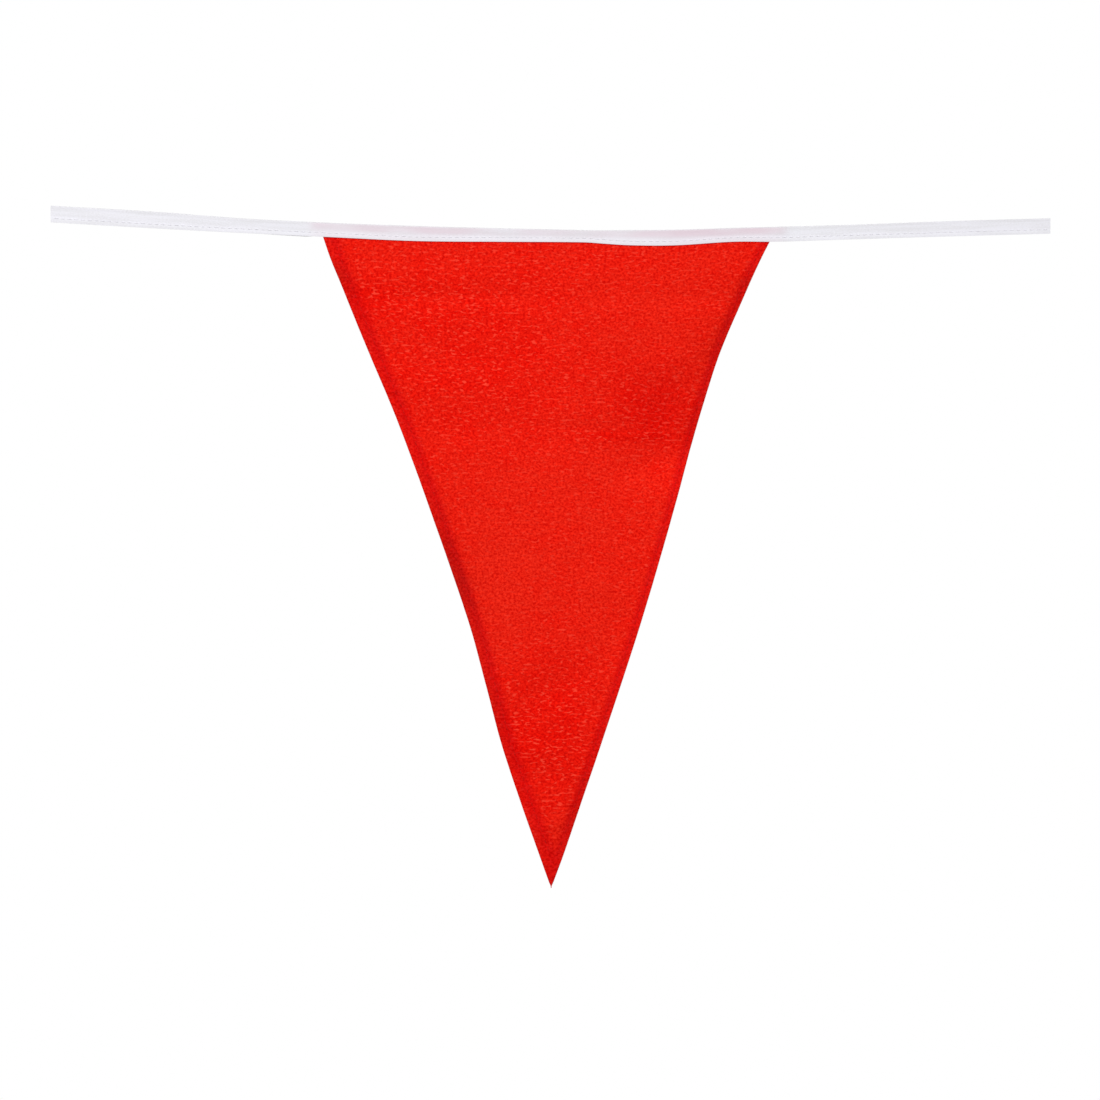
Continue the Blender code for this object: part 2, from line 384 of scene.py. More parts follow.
@dataclass(frozen=True)
class TapeShape:
    """The ribbon as it hangs: folded along its length, parted for the cloth and sewn shut below the fold.

    A run is a distance across the flat ribbon, from the front leaf's lower edge over the fold to the
    back leaf's.
    """

    length: float = 449.0
    width: float = 13.4
    thickness: float = 0.3
    seam_up: float = 1.9
    leaves_touch: float = 0.2
    cloth_face: float = 0.72
    cloth_back: float = 0.12
    hem_back: float = 0.62
    crown: float = 0.28
    stitch_pitch: float = 3.0
    stitch_swell: float = 0.08
    lip_flare: float = 0.04
    opening_run: float = 6.0
    opening_spare: float = 1.5
    hem_run: float = 6.0
    swell_reach: float = 1.4
    crown_rise: float = 2.6
    slack_depth: float = 0.12
    slack_start: float = 3.0
    fold_start: float = 0.8
    fold_settle: float = 1.6

    def top(self, x: float) -> float:
        """Height of the fold along the tape's top."""
        return TAPE_TOP.at(x)

    def leaf(self, x: float) -> float:
        """Depth of the front leaf below the fold."""
        return TAPE_LEAF.at(x)

    def back(self, x: float) -> float:
        """How far back the middle of the tape lies."""
        return TAPE_BACK.at(x)

    def opening(self, x: float, from_x: float, to_x: float) -> float:
        """Say how far the leaves are parted by what lies between them.

        Args:
            x: Place along the tape.
            from_x: Where the piece between the leaves starts.
            to_x: Where it ends.

        Returns:
            1 where it lies and 0 well beyond its ends.
        """
        start = from_x - self.opening_spare
        end = to_x + self.opening_spare
        return ease(x, start - self.opening_run, start) * (1 - ease(x, end, end + self.opening_run))

    def cloth_inside(self, x: float) -> float:
        """Say from 0 to 1 how much of the pennant's cloth lies inside the tape."""
        return self.opening(x, LEFT_SIDE.at(0.0), RIGHT_SIDE.at(0.0))

    def hem_inside(self, x: float) -> float:
        """Say from 0 to 1 how much of a doubled hem lies inside the tape."""
        left = LEFT_SIDE.at(4.0)
        right = RIGHT_SIDE.at(4.0)
        return max(self.opening(x, left, left + self.hem_run), self.opening(x, right - self.hem_run, right))

    def leaf_depth(self, x: float, up: float, face: Face) -> float:
        """Depth of a leaf's middle, behind the tape's own depth.

        Args:
            x: Place along the tape.
            up: Height above the front leaf's lower edge.
            face: Which leaf.

        Returns:
            The depth, below 0 for the front leaf.
        """
        cloth = self.cloth_inside(x)
        contact = self.leaves_touch
        if face is Face.FRONT:
            contact += (self.cloth_face - self.leaves_touch) * cloth
        else:
            contact += (self.cloth_back - self.leaves_touch) * cloth
            contact += (self.hem_back - self.cloth_back) * self.hem_inside(x)
        between = 0.5 - 0.5 * math.cos(2 * math.pi * x / self.stitch_pitch)
        swell = self.stitch_swell * between * bell(up - self.seam_up, self.swell_reach)
        flare = self.lip_flare * (1 - ease(up, 0.0, self.seam_up)) * (0.6 + 0.4 * between)
        puff = self.crown * ease(up, self.seam_up, self.seam_up + self.crown_rise)
        slack = self.slack_depth * mottle(x, up, 17.0, 9.0, 3.0 * face.value)
        return face.value * (contact + swell + flare + puff + slack * ease(up, 0.0, self.slack_start))

    def place(self, x: float, run: float) -> Vector:
        """Place of the ribbon's middle surface.

        Args:
            x: Place along the tape.
            run: Distance across the flat ribbon.

        Returns:
            The point in metres.
        """
        top = self.top(x) - self.thickness / 2
        leaf = self.leaf(x) - self.thickness / 2
        up_fold = leaf - self.fold_start
        front = self.leaf_depth(x, up_fold, Face.FRONT)
        back = self.leaf_depth(x, up_fold, Face.BACK)
        radius = (back - front) / 2
        straight = leaf - radius
        arc = math.pi * radius
        if run < straight:
            up = run
            depth = self.leaf_depth(x, up, Face.FRONT)
            settle = ease(up, straight - self.fold_settle, straight)
            depth += (front - depth) * settle
        elif run < straight + arc:
            angle = math.pi * (1 - (run - straight) / arc)
            up = straight + radius * math.sin(angle)
            depth = (front + back) / 2 + radius * math.cos(angle)
        else:
            up = straight - (run - straight - arc)
            depth = self.leaf_depth(x, up + self.back_lip_lift(x), Face.BACK)
            settle = ease(up, straight - self.fold_settle, straight)
            depth += (back - depth) * settle
        return Vector((x, self.back(x) + depth, top - leaf + up)) * MM

    def back_lip_lift(self, x: float) -> float:
        """How far the back leaf's lower edge hangs below the front leaf's, at no less than 0."""
        return max(self.width - 2 * self.leaf(x), 0.0)

    def seam(self, x: float, face: Face, proud: float) -> Vector:
        """Place on the line of stitches along the tape's lower edge.

        Args:
            x: Place along the tape.
            face: Which side of the tape.
            proud: Height above the ribbon's face.

        Returns:
            The point in metres.
        """
        depth = self.leaf_depth(x, self.seam_up, face) + face.value * (self.thickness / 2 + proud)
        return Vector((x, self.back(x) + depth, self.top(x) - self.leaf(x) + self.seam_up)) * MM


@dataclass(frozen=True)
class ClothShape:
    """The pennant as it hangs, found from a place on its flat cut.

    A flat place is across, to the right of the middle, and down from the level of the tape's fold.
    """

    tape: TapeShape
    half_width: float = 102.4
    drop: float = 294.8
    top: float = 1.9
    layer: float = 0.34
    hem: float = 5.2
    seam_in_left: float = 4.3
    seam_in_right: float = 2.4
    shade_end_left: float = 8.6
    shade_end_right: float = 5.4
    fold_radius: float = 0.34
    cad_thickness: float = 1.0
    folds_start: float = 11.0
    folds_full: float = 26.0
    sag_reach: float = 60.0
    groove_depth: float = 0.09
    groove_reach: float = 1.2
    ripple_pitch: float = 5.9
    ripple_depth: float = 0.22
    ripple_reach: float = 5.0
    slack_depth: float = 0.45
    seam_squeeze: float = 0.24
    squeeze_reach: float = 1.1
    edge_shade: float = 0.45

    @property
    def edge_length(self) -> float:
        """Length of a slanted side."""
        return math.hypot(self.half_width, self.drop)

    @property
    def fold_beyond(self) -> float:
        """Distance of the hem's fold line, on the flat cut, beyond the finished outline."""
        return (math.pi / 2 - 1) * self.fold_radius

    @property
    def cut_beyond(self) -> float:
        """Distance of the raw edge, on the flat cut, beyond the finished outline."""
        return self.hem + (math.pi - 2) * self.fold_radius

    def beyond(self, side: Side, across: float, down: float) -> float:
        """Distance of a flat place beyond one side's finished outline, below 0 inside it."""
        out = side.value * across * self.drop + (down - self.drop) * self.half_width
        return out / self.edge_length

    def up_edge(self, side: Side, across: float, down: float) -> float:
        """Distance of a flat place from the tip, along one side."""
        return (side.value * across * self.half_width - (down - self.drop) * self.drop) / self.edge_length

    def on_edge(self, side: Side, up_edge: float, beyond: float) -> tuple[float, float]:
        """Find the flat place at a distance from the tip and beyond one side's outline.

        Args:
            side: Which side.
            up_edge: Distance from the tip along the side.
            beyond: Distance beyond the side's outline.

        Returns:
            The flat place, across and down.
        """
        across = side.value * (up_edge * self.half_width + beyond * self.drop) / self.edge_length
        down = self.drop + (beyond * self.half_width - up_edge * self.drop) / self.edge_length
        return across, down

    def turned(self, beyond: float) -> tuple[float, float]:
        """Follow the cloth round the hem's fold.

        Args:
            beyond: Distance beyond the outline on the flat cut.

        Returns:
            Distance beyond the outline once the hem is turned, and distance behind the front layer.
        """
        radius = self.fold_radius
        past = beyond + radius
        if past < 0:
            return beyond, 0.0
        if past < math.pi * radius:
            angle = past / radius - math.pi / 2
            return radius * (math.cos(angle) - 1), radius * (math.sin(angle) + 1)
        return -(past - math.pi * radius) - radius, 2 * radius

    def seam_in(self, side: Side) -> float:
        """Distance of a hem's stitches from its folded edge."""
        return self.seam_in_left if side is Side.LEFT else self.seam_in_right

    def side_x(self, side: Side, drop: float) -> float:
        """Place of the pennant's side at a drop."""
        return (LEFT_SIDE if side is Side.LEFT else RIGHT_SIDE).at(drop)

    def fold_depth(self, x: float, drop: float) -> float:
        """Sum of the creases, hollows and ridges at a place."""
        depth = 0.0
        for fold in MAIN_FOLDS + FINE_FOLDS:
            turn = math.radians(fold.turn_deg)
            right = x - fold.x
            up = fold.drop - drop
            along = right * math.cos(turn) + up * math.sin(turn)
            across = up * math.cos(turn) - right * math.sin(turn)
            reach = fold.above if across > 0 else fold.below
            if abs(along) < 3 * fold.half_length and abs(across) < 3 * reach:
                depth += fold.depth * bell(along, fold.half_length) * bell(across, reach)
        return depth

    def curl_depth(self, x: float, drop: float) -> float:
        """How far back the two edges curl at a place."""
        depth = 0.0
        from_side = {side: abs(x - self.side_x(side, drop)) for side in Side}
        for curl in CURLS:
            near = max(1 - from_side[curl.side] / curl.strip, 0.0)
            depth += curl.depth * near**2 * bell(drop - curl.drop, curl.half_height)
        for turn in HEM_TURNS:
            past = max(turn.strip - from_side[turn.side], 0.0)
            depth += turn.slope * past * bell(drop - turn.drop, turn.half_height)
        return depth

    def slack(self, x: float, drop: float) -> float:
        """Depth of the cloth's faint, uneven slack."""
        broad = mottle(x, drop, 19.0, 13.0, 0.0)
        close = mottle(x, drop, 8.0, 5.5, 7.0)
        return self.slack_depth * (broad + 0.3 * close)

    def painted_glint_and_sheen(self, across: float, down: float) -> float:
        """Say from 0 to 1 how bright the painted glints are and how deep the red is painted under them, against
        a rosier painted sheen, with some random unevenness.
        """
        change = sum(patch.at(across, down) for patch in PAINTED_GLINTS_AND_SHEEN)
        uneven = 0.25 * mottle(across, down, 15.0, 9.0, 21.0)
        uneven += 0.35 * mottle(across, down, 6.0, 2.6, 33.0)
        return min(max(0.5 + 0.5 * change + uneven, 0.0), 1.0)

    def seam_pull(self, side: Side, across: float, down: float) -> float:
        """Depth of the groove and the ripples that a hem's stitches draw into the cloth."""
        from_seam = self.beyond(side, across, down) + self.seam_in(side)
        along = self.up_edge(side, across, down)
        uneven = 0.5 + mottle(along, 11.0 * side.value, 14.0, 1.0, 0.0)
        ripple = self.ripple_depth * uneven * math.sin(2 * math.pi * along / self.ripple_pitch)
        groove = self.groove_depth * bell(from_seam, self.groove_reach)
        return groove + ripple * bell(from_seam, self.ripple_reach)

    def surface(self, across: float, down: float) -> Vector:
        """Place of the front layer's middle.

        Args:
            across: Flat place to the right of the middle.
            down: Flat place below the level of the tape's fold.

        Returns:
            The point in millimetres.
        """
        share = across / max(self.half_width * (1 - down / self.drop), 0.4)
        bend = 1 - ease(down, 0.0, self.sag_reach)
        x = across
        drop = down
        for _ in range(2):
            drop = down - self.tape.top(x) * bend
            left = self.side_x(Side.LEFT, drop)
            right = self.side_x(Side.RIGHT, drop)
            x = (left + right) / 2 + (right - left) / 2 * share
        loose = ease(drop, self.folds_start, self.folds_full)
        turn = math.radians(HANG_TURN.at(drop))
        hang = HANG_BACK.at(drop) + x * math.sin(turn)
        folds = self.fold_depth(x, drop) + self.curl_depth(x, drop) + self.slack(x, drop)
        side = Side.LEFT if across < 0 else Side.RIGHT
        pull = self.seam_pull(side, across, down) * ease(drop, self.folds_start - 3, self.folds_full)
        in_tape = self.tape.back(x) * (1 - ease(drop, self.folds_start, self.sag_reach))
        face = in_tape - self.cad_thickness / 2 + loose * (hang + folds) + pull
        return Vector((x, face + self.layer / 2, -drop))

    def facing(self, across: float, down: float) -> Vector:
        """Way that the cloth's back looks at a flat place."""
        step = 0.5
        to_right = self.surface(across + step, down) - self.surface(across - step, down)
        to_foot = self.surface(across, down + step) - self.surface(across, down - step)
        return to_right.cross(to_foot).normalized()

    def place(self, across: float, down: float, behind: float = 0.0) -> Vector:
        """Place of a point of the cloth once it hangs.

        Args:
            across: Flat place to the right of the middle.
            down: Flat place below the level of the tape's fold.
            behind: Distance behind the front layer's middle.

        Returns:
            The point in metres.
        """
        point = self.surface(across, down)
        if behind:
            point += self.facing(across, down) * behind
        return point * MM

    def sewn(self, side: Side, up_edge: float, face: Face, proud: float) -> Vector:
        """Place on a hem's line of stitches.

        Args:
            side: Which side.
            up_edge: Distance from the tip along the side.
            face: Which face of the cloth.
            proud: Height above that face.

        Returns:
            The point in metres.
        """
        across, down = self.on_edge(side, up_edge, -self.seam_in(side))
        if face is Face.FRONT:
            return self.place(across, down, -(self.layer / 2 + proud))
        return self.place(across, down, self.hem_gap(0.0) + self.layer / 2 + proud)

    def painted_shade(self, across: float, down: float) -> float:
        """Say how much painted shade deepens the red: along the hems, most at their stitches, and in the
        shelters.

        Args:
            across: Flat place to the right of the middle.
            down: Flat place below the level of the tape's fold.

        Returns:
            The share of the painted shade.
        """
        clear = 1.0
        for patch in SHELTERS:
            clear *= 1 - patch.at(across, down)
        # Painted shade along each hem: darkest at its stitches, lighter at its folded edge, and fading out
        # inward from the stitches
        for side, end in ((Side.LEFT, self.shade_end_left), (Side.RIGHT, self.shade_end_right)):
            inside = -self.beyond(side, across, down)
            seam = self.seam_in(side)
            rise = self.edge_shade + (1 - self.edge_shade) * ease(inside, 0.0, seam)
            clear *= 1 - rise * (1 - ease(inside, seam, end))
        return 1 - clear

    def hem_gap(self, from_seam: float) -> float:
        """Distance between the hem's two layers, drawn together along the stitches."""
        return 2 * self.fold_radius - self.seam_squeeze * bell(from_seam, self.squeeze_reach)


# Colours and materials


def linear(hex_colour: str) -> tuple[float, float, float, float]:
    """Turn an sRGB hex colour to the linear values that a socket takes.

    Args:
        hex_colour: Six hex digits, as in "E61C10".

    Returns:
        Linear red, green and blue, and an alpha of 1.
    """
    parts = [int(hex_colour[at : at + 2], 16) / 255 for at in (0, 2, 4)]
    values = [part / 12.92 if part <= 0.04045 else ((part + 0.055) / 1.055) ** 2.4 for part in parts]
    return (*values, 1.0)


def add_node(tree: bpy.types.NodeTree, kind: str, settings: dict, inputs: dict) -> bpy.types.Node:
    """Add a node with its settings, and set or link its inputs.

    Args:
        tree: The tree that it goes into.
        kind: The node's type.
        settings: Its own values by name.
        inputs: Values, or sockets to link from, by the input's name or number.

    Returns:
        The new node.
    """
    node = tree.nodes.new(kind)
    for name, value in settings.items():
        setattr(node, name, value)
    for name, value in inputs.items():
        if isinstance(value, bpy.types.NodeSocket):
            tree.links.new(value, node.inputs[name])
        else:
            node.inputs[name].default_value = value
    return node


def new_material(name: str, roughness: float, specular: float) -> tuple[bpy.types.Material, bpy.types.Node]:
    """Start a material and set what is the same all over it.

    Args:
        name: Its name.
        roughness: Its roughness.
        specular: Its specular level.

    Returns:
        The material and its shader.
    """
    material = bpy.data.materials.new(name)
    material.use_nodes = True
    shader = material.node_tree.nodes["Principled BSDF"]
    shader.inputs["Roughness"].default_value = roughness
    shader.inputs["Specular IOR Level"].default_value = specular
    return material, shader


# Numbers of the Mix node's colour sockets
MIX_FIRST = 6
MIX_SECOND = 7
MIX_RESULT = 2

# Length of one wave of the Wave texture at a scale of 1
WAVE_LENGTH = 0.31


@dataclass(frozen=True)
class WarpKnitPolyester:
    """Red warp-knit polyester flag cloth.

    Fine loops make it matt and even from a step away. Its laid-in yarns lie across it, and their glints are a
    painted highlight: short bright lines in the colour, brighter over a red painted deeper and weaker over a
    red painted rosier, as a painted sheen. Painted shade deepens the red along the doubled hems, where less
    light comes through, and in the hollows.
    """

    name: str = "warp_knit_polyester_red"
    shade: str = "D20E05"
    light: str = "FA2D19"
    # Painted light: the yarns' painted highlight, the deeper red under strong glints against the rosier painted
    # sheen, and the tint of the painted shade
    yarn_glint: str = "FF4834"
    deep: str = "FF9884"
    doubled: str = "F0B4F4"
    roughness: float = 0.86
    specular: float = 0.03
    # Real loops are 0.4 mm apart. They are drawn nearly three times as coarse, so that they show.
    loop_wide: float = 1.15
    loop_high: float = 1.0
    # A laid-in yarn shows for 2 to 4 mm and is 0.3 mm thick. It is drawn nearly three times as
    # thick, so that it shows.
    yarn_long: float = 2.6
    yarn_thick: float = 0.86
    relief: float = 0.06
    bump: float = 0.6
    loop_range: tuple[float, float] = (0.28, 0.72)
    yarn_range: tuple[float, float] = (0.6, 0.84)
    yarn_light: tuple[float, float] = (0.15, 0.88)
    yarn_in_dark: float = 0.2
    yarn_turn_deg: float = -2.5

    def build(self) -> bpy.types.Material:
        """Build the material.

        Returns:
            The material, which reads the cloth's weave map and its attributes of painted glints and sheen and of
            painted shade.
        """
        material, shader = new_material(self.name, self.roughness, self.specular)
        tree = material.node_tree

        weave = add_node(tree, "ShaderNodeUVMap", {"uv_map": "weave"}, {}).outputs["UV"]
        loops_at = add_node(
            tree,
            "ShaderNodeMapping",
            {},
            {"Vector": weave, "Scale": (1 / (self.loop_wide * MM), 1 / (self.loop_high * MM), 1)},
        )
        loops = add_node(
            tree,
            "ShaderNodeTexNoise",
            {"noise_dimensions": "2D"},
            {"Vector": loops_at.outputs[0], "Scale": 1.0, "Detail": 1.0, "Roughness": 0.6, "Distortion": 0.3},
        )
        loop_light = add_node(
            tree,
            "ShaderNodeMapRange",
            {},
            {"Value": loops.outputs[0], "From Min": self.loop_range[0], "From Max": self.loop_range[1]},
        )
        yarns_at = add_node(
            tree,
            "ShaderNodeMapping",
            {},
            {
                "Vector": weave,
                "Rotation": (0, 0, math.radians(self.yarn_turn_deg)),
                "Scale": (1 / (self.yarn_long * MM), 1 / (self.yarn_thick * MM), 1),
            },
        )
        yarns = add_node(
            tree,
            "ShaderNodeTexNoise",
            {"noise_dimensions": "2D"},
            {"Vector": yarns_at.outputs[0], "Scale": 1.0, "Detail": 0.0, "Distortion": 0.55},
        )
        yarn_shows = add_node(
            tree,
            "ShaderNodeMapRange",
            {"interpolation_type": "SMOOTHSTEP"},
            {"Value": yarns.outputs[0], "From Min": self.yarn_range[0], "From Max": self.yarn_range[1]},
        )
        # Painted glints and sheen: brighter painted glints over a deeper red, or weaker ones over a rosier red
        painted_glint_and_sheen = add_node(tree, "ShaderNodeAttribute", {"attribute_name": "painted_glint_and_sheen"}, {}).outputs["Fac"]
        yarn_light = add_node(
            tree,
            "ShaderNodeMapRange",
            {},
            {"Value": painted_glint_and_sheen, "To Min": self.yarn_light[0], "To Max": self.yarn_light[1]},
        )
        # Painted shade along the doubled hems and in the hollows, which also dims the painted glints
        dark = add_node(tree, "ShaderNodeAttribute", {"attribute_name": "painted_shade"}, {}).outputs["Fac"]
        off_dark = add_node(
            tree, "ShaderNodeMapRange", {}, {"Value": dark, "To Min": 1.0, "To Max": self.yarn_in_dark}
        )
        lit_yarns = add_node(
            tree,
            "ShaderNodeMath",
            {"operation": "MULTIPLY"},
            {0: yarn_shows.outputs[0], 1: yarn_light.outputs[0]},
        )
        glints = add_node(
            tree,
            "ShaderNodeMath",
            {"operation": "MULTIPLY"},
            {0: lit_yarns.outputs[0], 1: off_dark.outputs[0]},
        )
        cloth = add_node(
            tree,
            "ShaderNodeMix",
            {"data_type": "RGBA"},
            {0: loop_light.outputs[0], MIX_FIRST: linear(self.shade), MIX_SECOND: linear(self.light)},
        )
        deeper = add_node(
            tree,
            "ShaderNodeMix",
            {"data_type": "RGBA", "blend_type": "MULTIPLY"},
            {0: painted_glint_and_sheen, MIX_FIRST: cloth.outputs[MIX_RESULT], MIX_SECOND: linear(self.deep)},
        )
        with_glints = add_node(
            tree,
            "ShaderNodeMix",
            {"data_type": "RGBA"},
            {0: glints.outputs[0], MIX_FIRST: deeper.outputs[MIX_RESULT], MIX_SECOND: linear(self.yarn_glint)},
        )
        with_painted_shade = add_node(
            tree,
            "ShaderNodeMix",
            {"data_type": "RGBA", "blend_type": "MULTIPLY"},
            {0: dark, MIX_FIRST: with_glints.outputs[MIX_RESULT], MIX_SECOND: linear(self.doubled)},
        )
        bump = add_node(
            tree,
            "ShaderNodeBump",
            {},
            {"Height": loops.outputs[0], "Distance": self.relief * MM, "Strength": self.bump},
        )
        tree.links.new(with_painted_shade.outputs[MIX_RESULT], shader.inputs["Base Color"])
        tree.links.new(bump.outputs[0], shader.inputs["Normal"])
        return material


@dataclass(frozen=True)
class WovenRibbon:
    """White plain-woven polyester ribbon.

    Its weave is too fine to see from a step away, and it is smooth with a faint satin light. It is
    thin, so the red cloth inside its fold tints it.
    """

    name: str = "woven_ribbon_white"
    colour: str = "F2F1F8"
    shade: str = "EAE9EE"
    tint: str = "E8D6E0"
    # grey is the painted shade along the fold, the edges and over the hem's end
    grey: str = "EEEEED"
    roughness: float = 0.7
    specular: float = 0.2
    # Real threads are 0.25 mm apart. They are drawn 0.9 mm apart along the ribbon and 0.4 mm across
    # it, so that they show.
    thread_pitch: float = 0.9
    across_share: float = 2.4
    run_long: float = 24.0
    run_high: float = 1.6
    uneven_range: tuple[float, float] = (0.75, 1.2)
    relief: float = 0.04
    bump: float = 0.5

    def build(self) -> bpy.types.Material:
        """Build the material.

        Returns:
            The material, which reads the ribbon's weave map, and its attributes of the cloth inside it and of
            its painted shade.
        """
        material, shader = new_material(self.name, self.roughness, self.specular)
        tree = material.node_tree

        weave = add_node(tree, "ShaderNodeUVMap", {"uv_map": "weave"}, {}).outputs["UV"]
        threads_at = add_node(
            tree,
            "ShaderNodeMapping",
            {},
            {
                "Vector": weave,
                "Scale": (1 / (self.thread_pitch * MM), self.across_share / (self.thread_pitch * MM), 1),
            },
        )
        threads = add_node(
            tree,
            "ShaderNodeTexNoise",
            {"noise_dimensions": "2D"},
            {"Vector": threads_at.outputs[0], "Scale": 1.0, "Detail": 1.0},
        )
        runs_at = add_node(
            tree,
            "ShaderNodeMapping",
            {},
            {"Vector": weave, "Scale": (1 / (self.run_long * MM), 1 / (self.run_high * MM), 1)},
        )
        runs = add_node(
            tree,
            "ShaderNodeTexNoise",
            {"noise_dimensions": "2D"},
            {"Vector": runs_at.outputs[0], "Scale": 1.0, "Detail": 2.0},
        )
        both = add_node(
            tree, "ShaderNodeMath", {"operation": "ADD"}, {0: threads.outputs[0], 1: runs.outputs[0]}
        )
        unevenness = add_node(
            tree,
            "ShaderNodeMapRange",
            {},
            {"Value": both.outputs[0], "From Min": self.uneven_range[0], "From Max": self.uneven_range[1]},
        )
        ribbon = add_node(
            tree,
            "ShaderNodeMix",
            {"data_type": "RGBA"},
            {0: unevenness.outputs[0], MIX_FIRST: linear(self.shade), MIX_SECOND: linear(self.colour)},
        )
        inside = add_node(tree, "ShaderNodeAttribute", {"attribute_name": "cloth_inside"}, {})
        with_tint = add_node(
            tree,
            "ShaderNodeMix",
            {"data_type": "RGBA"},
            {0: inside.outputs["Fac"], MIX_FIRST: ribbon.outputs[MIX_RESULT], MIX_SECOND: linear(self.tint)},
        )
        # Painted shade greys the ribbon along its fold, its edges and over the hem's end
        painted_ribbon_shade = add_node(tree, "ShaderNodeAttribute", {"attribute_name": "painted_ribbon_shade"}, {})
        with_grey = add_node(
            tree,
            "ShaderNodeMix",
            {"data_type": "RGBA", "blend_type": "MULTIPLY"},
            {0: painted_ribbon_shade.outputs["Fac"], MIX_FIRST: with_tint.outputs[MIX_RESULT], MIX_SECOND: linear(self.grey)},
        )
        bump = add_node(
            tree,
            "ShaderNodeBump",
            {},
            {"Height": threads.outputs[0], "Distance": self.relief * MM, "Strength": self.bump},
        )
        tree.links.new(with_grey.outputs[MIX_RESULT], shader.inputs["Base Color"])
        tree.links.new(bump.outputs[0], shader.inputs["Normal"])
        return material


@dataclass(frozen=True)
class SewingThread:
    """Spun polyester sewing thread: two plies whose twist shows as slanted light and dark."""

    name: str
    light: str
    shade: str
    twist_pitch: float = 0.5
    roughness: float = 0.7
    specular: float = 0.1

    def build(self) -> bpy.types.Material:
        """Build the material.

        Returns:
            The material, whose twist runs on Object coordinates.
        """
        material, shader = new_material(self.name, self.roughness, self.specular)
        tree = material.node_tree
        place = add_node(tree, "ShaderNodeTexCoord", {}, {}).outputs["Object"]
        twist = add_node(
            tree,
            "ShaderNodeTexWave",
            {"bands_direction": "DIAGONAL"},
            {"Vector": place, "Scale": WAVE_LENGTH / (self.twist_pitch * MM), "Distortion": 0.5},
        )
        colour = add_node(
            tree,
            "ShaderNodeMix",
            {"data_type": "RGBA"},
            {0: twist.outputs["Fac"], MIX_FIRST: linear(self.shade), MIX_SECOND: linear(self.light)},
        )
        tree.links.new(colour.outputs[MIX_RESULT], shader.inputs["Base Color"])
        return material


@dataclass(frozen=True)
class MattPaint:
    """Matt white emulsion on a studio floor, rolled on, so that it is plain with faint mottling."""

    name: str = "matt_emulsion_white"
    light: str = "F4F4F4"
    shade: str = "EFEFEF"
    roughness: float = 0.9
    specular: float = 0.2

    def build(self) -> bpy.types.Material:
        """Build the material.

        Returns:
            The material, on Object coordinates.
        """
        material, shader = new_material(self.name, self.roughness, self.specular)
        tree = material.node_tree
        place = add_node(tree, "ShaderNodeTexCoord", {}, {}).outputs["Object"]
        mottling = add_node(tree, "ShaderNodeTexNoise", {}, {"Vector": place, "Scale": 9.0})
        colour = add_node(
            tree,
            "ShaderNodeMix",
            {"data_type": "RGBA"},
            {0: mottling.outputs[0], MIX_FIRST: linear(self.shade), MIX_SECOND: linear(self.light)},
        )
        tree.links.new(colour.outputs[MIX_RESULT], shader.inputs["Base Color"])
        return material


# Modelling steps that the pieces share


def deselect_all() -> None:
    """Leave nothing selected, so that the next operator acts only on what it adds."""
    bpy.ops.object.select_all(action="DESELECT")


def only(piece: bpy.types.Object) -> None:
    """Select one piece alone and make it the active one."""
    deselect_all()
    piece.select_set(True)
    bpy.context.view_layer.objects.active = piece


def flat_grid(
    name: str, left: float, right: float, foot: float, head: float, cell_wide: float, cell_high: float
) -> bpy.types.Object:
    """Add a flat grid on the XY plane.

    Args:
        name: Name of the new piece.
        left: Its least X.
        right: Its greatest X.
        foot: Its least Y.
        head: Its greatest Y.
        cell_wide: About how wide a cell is.
        cell_high: About how high a cell is.

    Returns:
        The piece, with its place in its mesh.
    """
    deselect_all()
    wide = right - left
    high = head - foot
    bpy.ops.mesh.primitive_grid_add(
        x_subdivisions=round(wide / cell_wide),
        y_subdivisions=round(high / cell_high),
        size=1.0,
        location=((left + right) / 2 * MM, (foot + head) / 2 * MM, 0.0),
    )
    piece = bpy.context.active_object
    piece.name = name
    piece.data.name = name
    piece.scale = (wide * MM, high * MM, 1.0)
    bpy.ops.object.transform_apply(location=True, rotation=True, scale=True)
    return piece


def apply_thickness(piece: bpy.types.Object, thickness: float) -> None:
    """Give a sheet its thickness, half to each side, and shade it smooth but for its cut edges.

    Args:
        piece: The sheet.
        thickness: Its thickness in millimetres.
    """
    only(piece)
    layers = piece.modifiers.new("thickness", "SOLIDIFY")
    layers.thickness = thickness * MM
    layers.offset = 0.0
    layers.use_even_offset = False
    bpy.ops.object.modifier_apply(modifier=layers.name)
    bpy.ops.object.shade_smooth_by_angle(angle=math.radians(60))


def store_weave(piece: bpy.types.Object) -> None:
    """Keep the flat cut's X and Y, in metres, as the piece's weave map."""
    mesh = piece.data
    while mesh.uv_layers:
        mesh.uv_layers.remove(mesh.uv_layers[0])
    weave = mesh.uv_layers.new(name="weave")
    for loop in mesh.loops:
        weave.data[loop.index].uv = mesh.vertices[loop.vertex_index].co.xy


def store_values(piece: bpy.types.Object, name: str, values: list[float]) -> None:
    """Keep one value for each point of a piece.

    Args:
        piece: The piece.
        name: Name of the attribute.
        values: One value for each point.
    """
    attribute = piece.data.attributes.new(name, "FLOAT", "POINT")
    attribute.data.foreach_set("value", values)


